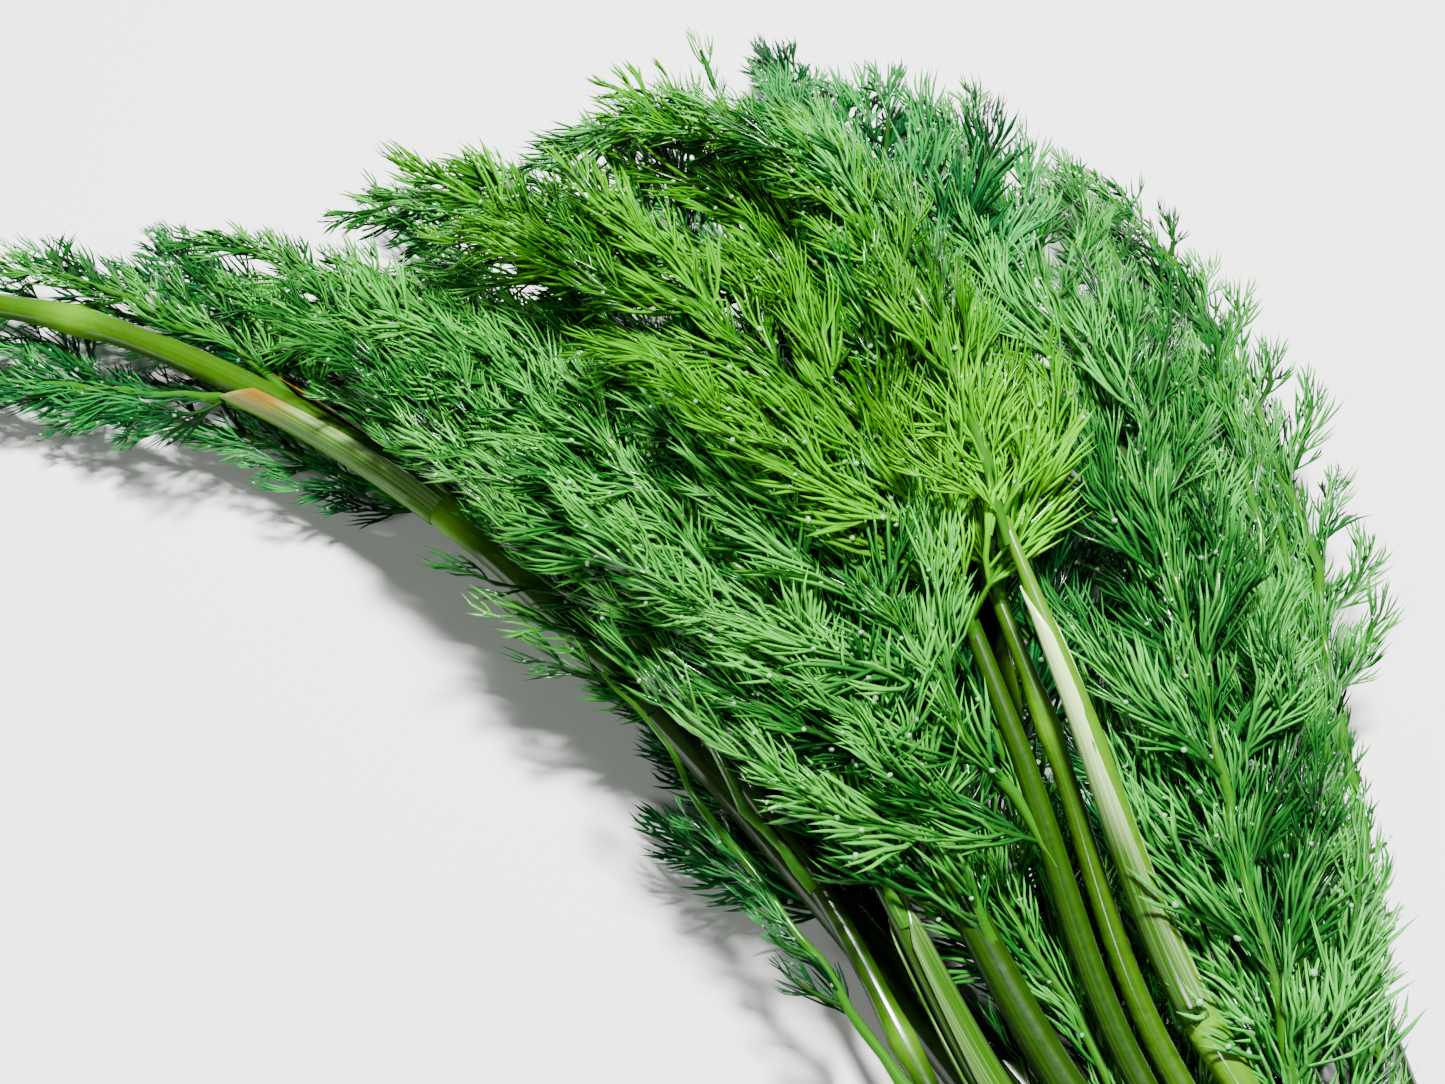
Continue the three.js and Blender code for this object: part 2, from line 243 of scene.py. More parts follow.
class Line:
    # a smooth line through points, as in the plain solids, with places by share of its length
    def __init__(self, points, steps=24):
        self.points = []
        ends = [points[0] * 2 - points[1], *points, points[-1] * 2 - points[-2]]
        for i in range(len(points) - 1):
            self.points += [self.between(ends[i:i + 4], k / steps) for k in range(steps)]
        self.points.append(points[-1].copy())
        self.lengths = [0.0]
        for a, b in zip(self.points, self.points[1:]):
            self.lengths.append(self.lengths[-1] + (b - a).length)

    @staticmethod
    def between(p, t):
        gaps = [max((p[k + 1] - p[k]).length, 1e-6) ** 0.5 for k in range(3)]
        start, end = (((b - a) / before - (c - a) / (before + after) + (c - b) / after) * gaps[1]
                      for a, b, c, before, after in zip(p, p[1:], p[2:], gaps, gaps[1:]))
        square = p[2] * 3 - p[1] * 3 - start * 2 - end
        cube = p[1] * 2 - p[2] * 2 + start + end
        return p[1] + start * t + square * t ** 2 + cube * t ** 3

    def place(self, share):
        # point, direction, left and up
        target = share * self.lengths[-1]
        i = next((k for k, far in enumerate(self.lengths[1:]) if far >= target), len(self.lengths) - 2)
        step = self.points[i + 1] - self.points[i]
        at = self.points[i] + step * ((target - self.lengths[i]) / step.length)
        along = step.normalized()
        left = Vector((0, 0, 1)).cross(along).normalized()
        return at, along, left, along.cross(left)

    def shareAt(self, y):
        i = next((k for k, p in enumerate(self.points) if p.y >= y), len(self.points) - 1)
        before, after = self.points[max(i - 1, 0)], self.points[i]
        step = (y - before.y) / max(after.y - before.y, 1e-9)
        return (self.lengths[max(i - 1, 0)] + step * (after - before).length) / self.lengths[-1]


def makeLivingTone():
    # leaf colour: a tone for each leaflet; painted light and shade for each thread by how it points, with
    # some at random; paler towards the tips, partly own colour and partly painted shade at the base
    black = (0.0, 0.0, 0.0, 1.0)
    bench = NodeBench("livingTone", "ShaderNodeTree", {
        "Shadow": black, "Body": black, "Light": black,
        "Leaflet variation": 0.5, "Thread variation": 0.3, "Tip": 0.3, "Middle of thread": 0.4,
        "Patch size": 55.0, "Patch share": 0.5,
    }, {"Colour": "Color"})
    given = bench.given
    patches = bench.noise(bench.onPiece(), given["Patch size"], 2.0)
    level = bench.shifted(0.5, bench.attribute("tone"), 0.5, given["Leaflet variation"])
    # painted light and shade: a thread that points up is painted lighter, one that points down darker, with
    # some at random
    level = bench.shifted(level, bench.attribute("shade"), 0.5, given["Thread variation"])
    level = bench.shifted(level, patches, 0.5, given["Patch share"])
    # painted shade: each thread is painted darker at its base than at its tip, partly the leaf's own colour
    level = bench.shifted(level, bench.attribute("along"), given["Middle of thread"], given["Tip"])
    dark = bench.blend(bench.mapped(level, 0.0, 0.5), given["Shadow"], given["Body"])
    bench.give("Colour", bench.blend(bench.mapped(level, 0.5, 1.0), dark, given["Light"]))
    return bench.tree


def makeWetFilm():
    # water that lies in patches: a mask for the coat, and a fine height
    bench = NodeBench("wetFilm", "ShaderNodeTree", {
        "Patch size": 160.0, "Cover": 0.5, "Bead size": 900.0, "Edge": 0.08,
    }, {"Wetness": "Float", "Height": "Float"})
    given, where = bench.given, bench.onPiece()
    patches = bench.noise(where, given["Patch size"], 2.0)
    edge = bench.minus(1.0, given["Cover"])
    wet = bench.mapped(patches, bench.minus(edge, given["Edge"]), edge)
    bench.give("Wetness", wet)
    bench.give("Height", bench.times(bench.noise(where, given["Bead size"], 1.0), wet))
    return bench.tree


def makeFibres():
    # lengthwise streaks round a stem or sheath, and its upper side
    bench = NodeBench("fibres", "ShaderNodeTree", {
        "Streaks": 5.0, "Stretch": 30.0, "Upper from": 0.2, "Upper to": 0.75,
    }, {"Streak": "Float", "Upper side": "Float"})
    section = bench.lay("ShaderNodeAttribute", attribute_name="section")[1]
    across = bench.scaled(section, bench.given["Streaks"])
    down = bench.xyz(0.0, 0.0, bench.times(bench.attribute("distance"), bench.given["Stretch"]))
    height = bench.lay("ShaderNodeSeparateXYZ", {0: section})[1]
    bench.give("Streak", bench.noise(bench.vector("ADD", across, down), 1.0, 3.0))
    bench.give("Upper side", bench.mapped(height, bench.given["Upper from"], bench.given["Upper to"]))
    return bench.tree


livingTone, wetFilm, fibres = makeLivingTone(), makeWetFilm(), makeFibres()


class Finish(NodeTools):
    # a material with one Principled shader
    def __init__(self, name, **values):
        self.material = bpy.data.materials.new(name)
        self.material.use_nodes = True
        self.tree = self.material.node_tree
        self.shader = self.tree.nodes["Principled BSDF"].inputs
        for label, value in values.items():
            self.put(label.replace("_", " "), value)

    def effect(self, tree, inputs):
        return self.lay("ShaderNodeGroup", inputs, node_tree=tree)

    def put(self, label, value):
        self.feed(self.shader[label], value)

    def bump(self, height, distance, strength):
        values = {"Height": height, "Distance": distance, "Strength": strength}
        self.put("Normal", self.lay("ShaderNodeBump", values)[0])


# a leaf's colours in the shadow, in its body and in the light
leafColours = {
    "young": [(0.001, 0.010, 0.0, 1), (0.006, 0.072, 0.0, 1), (0.050, 0.28, 0.002, 1)],
    "green": [(0.001, 0.014, 0.002, 1), (0.007, 0.090, 0.008, 1), (0.068, 0.36, 0.038, 1)],
    "soft": [(0.001, 0.017, 0.003, 1), (0.009, 0.108, 0.011, 1), (0.074, 0.40, 0.052, 1)],
    # deep: a bluer green, painted darker as shade for fronds that lie low, under the others
    "deep": [(0.001, 0.011, 0.002, 1), (0.003, 0.065, 0.011, 1), (0.028, 0.27, 0.045, 1)],
}
leafFinish = {
    "tone": {"Leaflet variation": 0.7, "Thread variation": 0.9, "Tip": 0.5},
    "film": {"Patch size": 150.0, "Cover": 0.4, "Bead size": 1500.0}, "filmCoat": 0.8,
    "bump": (0.0003, 0.7),  # its distance and strength
    # water: the colour drops are painted, paler than the leaf, a painted highlight under their coat
    "stalk": (0.022, 0.12, 0.005, 1), "water": (0.34, 0.50, 0.32, 1), "dropHighlightShare": 0.5,
}
# the heart of the bunch, where the leaves are freshest, in metres: from and to, with its share at each, by
# distance and along a thread
heart = {"place": (0.0293, -0.0160, 0.046), "colour": (0.11, 0.52, 0.0, 1),
         "reach": (0.009, 0.030, 0.9, 0.0), "threads": (-0.2, 0.7, 0.25, 1.0)}


def makeLeaf(name):
    finish = Finish("leaf" + name.capitalize(), Roughness=0.45, Specular_IOR_Level=0.04, Coat_Roughness=0.15)
    values = leafFinish
    film = finish.effect(wetFilm, values["film"])
    colours = dict(zip(("Shadow", "Body", "Light"), leafColours[name]))
    colour = finish.effect(livingTone, colours | values["tone"])["Colour"]
    if name == "young":
        ends = {0: finish.onPiece(), 1: heart["place"]}
        away = finish.lay("ShaderNodeVectorMath", ends, operation="DISTANCE")["Value"]
        lit = finish.mapped(finish.attribute("along"), *heart["threads"])
        fresh = finish.times(finish.mapped(away, *heart["reach"]), lit)
        colour = finish.blend(fresh, colour, heart["colour"])
    water = finish.attribute("water")
    colour = finish.blend(finish.attribute("stalk"), colour, values["stalk"])
    # painted highlight: drops are painted paler than the leaf, under a full coat
    drops = finish.times(water, values["dropHighlightShare"])
    finish.put("Base Color", finish.blend(drops, colour, values["water"]))
    wet = finish.times(film["Wetness"], values["filmCoat"])
    finish.put("Coat Weight", finish.calc("MAXIMUM", wet, water))
    finish.bump(film["Height"], *values["bump"])
    return finish.material


def makeSkin(name, values):
    # what stems and sheaths share: streaks, and a wet upper side
    finish = Finish(name, Roughness=0.45, Specular_IOR_Level=0.03, Coat_Roughness=0.17)
    grain = finish.effect(fibres, values["fibres"])
    film = finish.effect(wetFilm, values["film"])
    finish.put("Coat Weight", finish.times(film["Wetness"], grain["Upper side"]))
    return finish, grain["Streak"], grain["Upper side"], film["Height"]


# upper is how much darker the underside of a stem is painted, a painted shade
stemFinish = {
    "dark": (0.001, 0.009, 0.001, 1), "bright": (0.008, 0.040, 0.0, 1), "pale": (0.12, 0.34, 0.010, 1),
    "pith": (0.80, 0.86, 0.62, 1), "streak": 0.7, "paleStreak": 0.15, "upper": 0.6, "ridge": 0.3,
    "fibres": {"Streaks": 4.5, "Stretch": 22.0}, "bump": (0.0003, 0.7),
    "film": {"Patch size": 90.0, "Cover": 0.55, "Bead size": 700.0},
}


def makeStemSkin():
    values = stemFinish
    finish, streak, upper, beads = makeSkin("stemSkin", values)
    # the stem's tone, partly its own colour and partly painted shade, with its streaks
    level = finish.shifted(finish.attribute("tone"), streak, 0.5, values["streak"])
    # painted shade: the underside of a stem, away from its upper side, is painted darker
    level = finish.shifted(level, upper, 1.0, values["upper"])
    washed = finish.shifted(finish.attribute("pale"), streak, 0.5, values["paleStreak"])
    skin = finish.blend(washed, finish.blend(level, values["dark"], values["bright"]), values["pale"])
    finish.put("Base Color", finish.blend(finish.attribute("cut"), skin, values["pith"]))
    finish.bump(finish.calc("MULTIPLY_ADD", streak, values["ridge"], beads), *values["bump"])
    return finish.material


# white: the colour of the thin mouth, and of the pale sheath's upper part, which is partly a painted
# highlight
sheathFinish = {
    "green": (0.018, 0.082, 0.001, 1), "white": (0.62, 0.92, 0.34, 1), "brown": (0.19, 0.105, 0.008, 1),
    "veins": 0.8, "fibres": {"Streaks": 7.0, "Stretch": 12.0}, "bump": (0.00015, 0.5),
    "film": {"Patch size": 90.0, "Cover": 0.6, "Bead size": 700.0},
}


def makeSheathSkin():
    values = sheathFinish
    finish, streak = makeSkin("sheathSkin", values)[:2]
    veins = finish.shifted(finish.attribute("thin"), streak, 0.5, values["veins"])
    wall = finish.blend(veins, values["green"], values["white"])
    finish.put("Base Color", finish.blend(finish.attribute("stain"), wall, values["brown"]))
    finish.bump(streak, *values["bump"])
    return finish.material


leafMaterials = {name: makeLeaf(name) for name in leafColours}
stemSkin, sheathSkin = makeStemSkin(), makeSheathSkin()
print("materials:", len(leafMaterials) + 2)

# Stems: (x, z) in millimetres at each of these y, and the radius at the cut end and at the top. tone is the
# brightness, partly the stem's own colour and partly painted shade where it lies under the fronds, as on the
# dark cut-end half of the left stem; pale is the whiteness; both at the cut end, in the middle and at the
# top.
# joints are the y of its swellings. slim is how a stem gets thinner: the y where that starts and ends, and
# the share that is left.
stations = [-165, -120, -75, -40, 0, 40, 80, 110]
stems = {
    "left": {"radius": (3.4, 1.6), "tone": (0.05, 0.45, 0.95), "pale": (0.0, 0.05, 0.25), "joints": (28, 86),
        "path": [(0, 3.2), (-1.5, 4.5), (-4, 7), (-8, 10), (-16, 14), (-29, 17), (-51, 15), (-78, 10)]},
    "under": {"radius": (2.2, 1.4), "tone": (0.2, 0.2, 0.4), "pale": (0.2, 0.0, 0.0), "joints": (),
        "path": [(6.4, 2), (4, 1.9), (2, 1.8), (-2, 1.6), (-8, 1.5), (-20, 1.4), (-36, 1.2)]},
    "slim": {"radius": (1.7, 1.1), "tone": (0.4, 0.4, 0.4), "pale": (0.1, 0.0, 0.1), "joints": (-60,),
        "path": [(-0.8, 12.6), (-6, 14), (-11.5, 14.5), (-10, 17), (-14, 22)]},
    "broad": {"radius": (3, 1.2), "tone": (0.9, 0.8, 0.5), "pale": (0.1, 0.05, 0.1), "joints": (-82,),
        "slim": (-78, -46, 0.6), "path": [(3.4, 9), (-0.5, 12.5), (-6, 16.5), (-5, 24), (-6, 29)]},
    "shiny": {"radius": (3, 1.2), "tone": (0.3, 0.3, 0.4), "pale": (0.1, 0.05, 0.0), "joints": (-86, -48),
        "path": [(10, 8.3), (6.5, 13), (1, 18.5), (3, 24), (5, 32), (1, 33)]},
    "smooth": {"radius": (2, 1.2), "tone": (0.5, 0.55, 0.6), "pale": (0.0, 0.05, 0.1), "joints": (-18, 24),
        "slim": (-60, -20, 0.72), "path": [(6.8, 13), (7, 18.8), (8, 21), (15.5, 31), (22, 39), (21, 41)]},
    "parallel": {"radius": (2, 1.1), "tone": (0.6, 0.75, 0.6), "pale": (0.05, 0.15, 0.15), "joints": (-40,),
        "slim": (-60, -20, 0.75), "path": [(12.8, 13), (12.5, 17), (12.8, 18.2), (20, 30.5), (28, 38)]},
    "pale": {"radius": (2.4, 1.3), "tone": (0.6, 0.8, 0.9), "pale": (0.15, 0.45, 0.5), "joints": (-78,),
        "slim": (-46, -26, 0.5), "path": [(19.6, 12), (18, 17.5), (17.2, 22.5), (22, 38), (30, 46)]},
    "right": {"radius": (2.4, 1.2), "tone": (0.35, 0.35, 0.35), "pale": (0.1, 0.0, 0.0), "joints": (-22,),
        "path": [(16, 7.6), (21, 12.8), (26.5, 20), (39, 30), (55, 32)]},
    "outer": {"radius": (2.4, 1.3), "tone": (0.35, 0.35, 0.35), "pale": (0.1, 0.0, 0.0), "joints": (-72,),
        "path": [(24.6, 2.4), (31, 4.5), (44, 9), (65, 14)]},
    "middle": {"radius": (2.6, 1.2), "tone": (0.3, 0.3, 0.3), "pale": (0.1, 0.0, 0.0), "joints": (-32,),
        "path": [(12.2, 2.6), (11.5, 5.5), (10.5, 10), (18, 19), (34, 33), (44, 38)]},
    "low": {"radius": (2.6, 1.5), "tone": (0.3, 0.3, 0.3), "pale": (0.2, 0.0, 0.0), "joints": (-62,),
        "path": [(18.4, 2.4), (22, 2.2), (29, 2), (36, 1.8), (46, 1.6), (56, 1.4)]},
}
stemSizes = {
    "millimetres": {"Ring spacing": 3.0, "Hollow depth": 3.0},
    "numbers": {"Sides": 30, "Ridges": 10, "Ridge depth": 0.02, "Hollow": 0.62},
    "swelling": 0.45, "swellingReach": 3.0, "taperedTop": 7.0, "topShare": 0.35, "jointPale": 0.45,
    "pointSpacing": 2,
}
stemLines = {name: Line([Vector((x, y, z)) for (x, z), y in zip(stem["path"], stations)])
             for name, stem in stems.items()}


def radiusAt(name, share):
    low, high = stems[name]["radius"]
    return low + (high - low) * share


def buildStemTree():
    bench = NodeBench("stemTree", "GeometryNodeTree",
                      {"Line": "Geometry", **plainSizes(stemSizes), "Skin": "Material"}, {"Stem": "Geometry"})
    given, geo, calc, times = bench.given, bench.geo, bench.calc, bench.times
    curve = geo("MeshToCurve", {"Mesh": given["Line"]})[0]
    curve = bench.evenly(curve, "LENGTH", given["Ring spacing"])
    along = geo("SplineParameter")
    curve = bench.keep(curve, "distance", along["Length"])
    curve = geo("SetCurveNormal", {"Curve": curve}, mode="Z_UP")[0]
    # the section is a circle with low ridges
    wave = calc("COSINE", times(times(along["Factor"], tau), given["Ridges"]))
    swell = calc("MULTIPLY_ADD", wave, given["Ridge depth"], 1.0)
    place = geo("InputPosition")[0]
    section = bench.change("SetPosition", bench.circle(given["Sides"]), Position=bench.scaled(place, swell))
    mirrored = bench.vector("MULTIPLY", place, (1.0, -1.0, 1.0))
    section = bench.keep(section, "section", mirrored, "FLOAT_VECTOR")
    mesh = bench.tube(curve, section, "thickness")
    # the cut end is a ring of wall round a hollow
    corners = geo("InputMeshFaceNeighbors")["Vertex Count"]
    near = calc("LESS_THAN", bench.read("distance"), given["Ring spacing"])
    cap = times(calc("GREATER_THAN", corners, 4.5), near)

    def pushed(mesh, faces, depth):
        values = {"Mesh": mesh, "Selection": faces, "Offset Scale": depth, "Individual": False}
        return geo("ExtrudeMesh", values)

    rim = pushed(mesh, cap, 0.0)
    inner = bench.change("ScaleElements", rim["Mesh"], Selection=rim["Top"], Scale=given["Hollow"])
    deep = pushed(inner, rim["Top"], times(given["Hollow depth"], -1.0))
    faces = {"Geometry": deep["Mesh"], "Name": "cut", "Value": 1.0,
             "Selection": calc("MAXIMUM", rim["Side"], calc("MAXIMUM", deep["Side"], deep["Top"]))}
    mesh = geo("StoreNamedAttribute", faces, data_type="FLOAT", domain="FACE")[0]
    # nothing goes through the table
    x, y, z = bench.lay("ShaderNodeSeparateXYZ", {0: place})
    mesh = bench.change("SetPosition", mesh, Position=bench.xyz(x, y, calc("MAXIMUM", z, 0.0)))
    mesh = bench.change("RealizeInstances", mesh)
    bench.give("Stem", bench.change("SetMaterial", mesh, Material=given["Skin"]))
    return bench


def growStem(name, stem, bench):
    line, sizes = stemLines[name], stemSizes
    length = line.lengths[-1]
    count = int(length / sizes["pointSpacing"])
    points, thickness, pale, tone = [], [], [], []

    def along(key, share):
        start, middle, end = stem[key]
        low, high, step = (start, middle, share * 2) if share < 0.5 else (middle, end, share * 2 - 1)
        return low + (high - low) * step

    for i in range(count + 1):
        share = i / count
        at = line.place(share)[0]
        joint = sum(exp(-((at.y - y) / sizes["swellingReach"]) ** 2) for y in stem["joints"])
        toTop = (1 - share) * length
        taper = min(1, sizes["topShare"] + (1 - sizes["topShare"]) * toTop / sizes["taperedTop"])
        if "slim" in stem:
            low, high, least = stem["slim"]
            taper *= 1 - (1 - least) * min(1, max(0, (at.y - low) / (high - low)))
        points.append(inFrame(at))
        thickness.append((radiusAt(name, share) + sizes["swelling"] * joint) * taper * millimetre)
        pale.append(min(1, along("pale", share) + sizes["jointPale"] * joint))
        tone.append(along("tone", share))
    values = {"thickness": thickness, "pale": pale, "tone": tone}
    inputs = plainSizes(sizes) | {"Skin": stemSkin}
    asPiece(growTree("stem" + name.capitalize(), bench, inputs, points, values), "stem_" + name)


stemBench = buildStemTree()
for name, stem in stems.items():
    growStem(name, stem, stemBench)
print("stems:", len(stems))

# Sheaths: where each starts and ends (y), the side of its slit in degrees, how its mouth flares or narrows,
# and how white (on the pale sheath partly a painted highlight), thin at the mouth and stained it is.
sheaths = {
    "left": {"from": 30, "to": 65, "slit": 20, "flare": 0.8, "narrow": 0.0,
        "white": 0.0, "mouth": 0.35, "stain": 1.0},
    "broad": {"from": -80, "to": -46, "slit": -60, "flare": 0.3, "narrow": 0.25,
        "white": 0.0, "mouth": 0.12, "stain": 0.0},
    "pale": {"from": -76, "to": -28, "slit": 40, "flare": 0.0, "narrow": 0.38,
        "white": 0.6, "mouth": 0.35, "stain": 0.0},
}
# in millimetres and degrees; white and stain: where on its length each is, and its reach
sheathSizes = {
    "wall": 0.45, "edge": 0.18, "gap": 0.15, "gapRise": 6, "opening": (20, 84), "slope": 7.0,
    "across": 36, "down": 26, "ribs": 26, "ribDepth": 0.03, "white": (0.4, 0.35), "stain": (0.93, 0.15),
    "stainOutside": 1.3, "stainInside": 0.5,
}


def growSheath(name, sheath):
    # a wall with a slit, closed on the stem at its foot and open at its mouth
    line, sizes = stemLines[name], sheathSizes
    start, end = line.shareAt(sheath["from"]), line.shareAt(sheath["to"])
    foot, mouth = sizes["opening"]
    across, down = sizes["across"], sizes["down"]
    vertices, sections, distances, paleAndHighlightValues, stains = [], [], [], [], []
    for inside, i, j in product((False, True), range(down + 1), range(across + 1)):
        v, u = i / down, j / across
        edge = abs(2 * u - 1)
        slope = sizes["slope"] * edge ** 2 / line.lengths[-1]
        share = start + (end - start - slope) * v
        at, _, left, up = line.place(share)
        opening = foot + (mouth - foot) * v
        angle = radians(sheath["slit"] + 90 + opening / 2 + (360 - opening) * u)
        radius = radiusAt(name, share) + sizes["gap"] * min(1, sizes["gapRise"] * v)
        radius += sheath["flare"] * v ** 2
        radius *= 1 - sheath["narrow"] * v
        if not inside:
            wall = sizes["edge"] + (sizes["wall"] - sizes["edge"]) * (1 - max(edge, v) ** 4)
            radius += wall + sizes["ribDepth"] * cos(sizes["ribs"] * angle)
        outwards = left * cos(angle) + up * sin(angle)
        vertices.append(inFrame(at + outwards * radius))
        sections += (cos(angle), sin(angle), 0)
        distances.append(share * line.lengths[-1] * millimetre)
        # the upper part of a sheath is painted white, partly its own paleness and partly a painted highlight
        white = min(1.0, max(0.0, (v - sizes["white"][0]) / sizes["white"][1]))
        paleAndHighlightValues.append(sheath["white"] * white + sheath["mouth"] * max(edge, v) ** 6)
        stain = exp(-((v - sizes["stain"][0]) / sizes["stain"][1]) ** 2) * edge ** 2
        stain = sizes["stainOutside"] * stain + (sizes["stainInside"] if inside else 0.0)
        stains.append(min(1.0, sheath["stain"] * stain))
    half = (down + 1) * (across + 1)
    faces = []

    def index(inside, i, j):
        return inside * half + i * (across + 1) + j

    for i, j in product(range(down), range(across)):
        outer = [index(0, i, j), index(0, i, j + 1), index(0, i + 1, j + 1), index(0, i + 1, j)]
        faces += [outer, [half + k for k in reversed(outer)]]
    border = [(0, j) for j in range(across)] + [(i, across) for i in range(down)]
    border += [(down, j) for j in range(across, 0, -1)] + [(i, 0) for i in range(down, 0, -1)]
    for (i, j), (k, m) in zip(border, border[1:] + border[:1]):
        faces.append([index(0, k, m), index(0, i, j), index(1, i, j), index(1, k, m)])
    values = {"distance": distances, "thin": paleAndHighlightValues, "stain": stains}
    mesh = newMesh("sheath" + name.capitalize(), vertices, [], faces, values)
    mesh.attributes.new("section", "FLOAT_VECTOR", "POINT").data.foreach_set("vector", sections)
    mesh.shade_smooth()
    mesh.materials.append(sheathSkin)
    asPiece(addObject(mesh.name, mesh), "sheath_" + name)


for name, sheath in sheaths.items():
    growSheath(name, sheath)
print("sheaths:", len(sheaths))

# Sprigs: forked threads, one unit long, that a leaflet's rib carries in pairs.
sprigSizes = {
    "kinds": 14, "seed": 3, "prongs": (3, 4), "steps": 4, "radius": 0.0255, "taper": (0.85, 1.0, 0.9),
    "curl": (5, 50), "firstTurn": 0.4, "roll": 0.6,
    # the prongs: where they start, how much each moves from there, their angle, length and thickness
    "start": 0.10, "reach": 0.45, "spread": 0.2, "opening": (11, 25), "closing": (-8, 12), "outOfPlane": 40,
    "length": (0.7, 1.0), "prongRadius": 0.9,
    # every second kind carries a drop of water
    "dropEvery": 2, "dropRadius": 0.034,
}


def threadPoints(start, heading, roll, length, turn, steps):
    # a line that leaves at heading and turns by turn degrees on its way
    points, angle = [start], radians(heading)
    for _ in range(steps):
        step = Vector((cos(angle), sin(angle) * cos(roll), sin(angle) * sin(roll)))
        points.append(points[-1] + step * (length / steps))
        angle += radians(turn) / steps
    return points


def growSprig(number, chance):
    sizes = sprigSizes
    vertices, faces, along, water = [], [], [], []

    def drop(middle, radius):
        # a ball of 20 faces: two poles and two rings of five
        top = len(vertices)
        upper, lower, bottom = top + 1, top + 6, top + 11
        vertices.append(middle + Vector((0, 0, radius)))
        for (height, turn), k in product(((1, 0.0), (-1, 0.5)), range(5)):
            angle = tau * (k + turn) / 5
            vertices.append(middle + Vector((2 * cos(angle), 2 * sin(angle), height)) * (radius / 5 ** 0.5))
        vertices.append(middle - Vector((0, 0, radius)))
        along.extend([1.0] * 12)
        water.extend([1.0] * 12)
        for k in range(5):
            a, b, c, d = upper + k, upper + (k + 1) % 5, lower + k, lower + (k + 1) % 5
            faces.extend([(top, a, b), (a, c, b), (b, c, d), (c, bottom, d)])

    def thread(points, radius, first, last):
        # a tapering three-sided tube that ends in a point
        base, rings = len(vertices), len(points) - 1
        for i, point in enumerate(points[:-1]):
            forward = (points[i + 1] - points[max(i - 1, 0)]).normalized()
            across = forward.cross(Vector((0, 0, 1))).normalized()
            top = across.cross(forward)
            share = i / rings
            width = radius * sizes["taper"][min(round(share * 3), 2)]
            for k in range(3):
                angle = tau * k / 3 + 0.5
                vertices.append(point + (across * cos(angle) + top * sin(angle)) * width)
                along.append(first + (last - first) * share)
        vertices.append(points[-1])
        along.append(last)
        water.extend([0.0] * (len(vertices) - base))
        for i, k in product(range(rings), range(3)):
            a, b = base + 3 * i + k, base + 3 * i + (k + 1) % 3
            faces.append((a, b, b + 3, a + 3) if i < rings - 1 else (a, b, base + 3 * rings))

    curl = chance.uniform(*sizes["curl"])
    roll = chance.uniform(-sizes["roll"], sizes["roll"])
    main = threadPoints(Vector(), sizes["firstTurn"] * curl, roll, 1.0, -curl, sizes["steps"])
    thread(main, sizes["radius"], 0.0, 1.0)
    count = chance.randint(*sizes["prongs"])
    for i in range(count):
        move = chance.uniform(-sizes["spread"], sizes["spread"])
        share = sizes["start"] + sizes["reach"] * (i + move) / count
        step, rest = divmod(share * sizes["steps"], 1)
        at = main[int(step)].lerp(main[int(step) + 1], rest)
        opening, closing = chance.uniform(*sizes["opening"]), chance.uniform(*sizes["closing"])
        roll = radians(chance.uniform(-1, 1) * sizes["outOfPlane"]) + (0 if i % 2 else pi)
        length = (1 - share) * chance.uniform(*sizes["length"])
        prong = threadPoints(at, opening, roll, length, closing - opening, 3 if share < 0.4 else 2)
        thread(prong, sizes["radius"] * sizes["prongRadius"], share, 1.0)
    if number % sizes["dropEvery"] == 0:
        drop(main[1 + number % 3] + Vector((0, 0, 0.5 * sizes["dropRadius"])), sizes["dropRadius"])
    mesh = newMesh(f"sprig{number}", vertices, [], faces, {"along": along, "water": water})
    mesh.shade_smooth()
    return bpy.data.objects.new(mesh.name, mesh)


sprigChance = random.Random(sprigSizes["seed"])
sprigs = bpy.data.collections.new("sprigs")
for number in range(sprigSizes["kinds"]):
    sprigs.objects.link(growSprig(number, sprigChance))

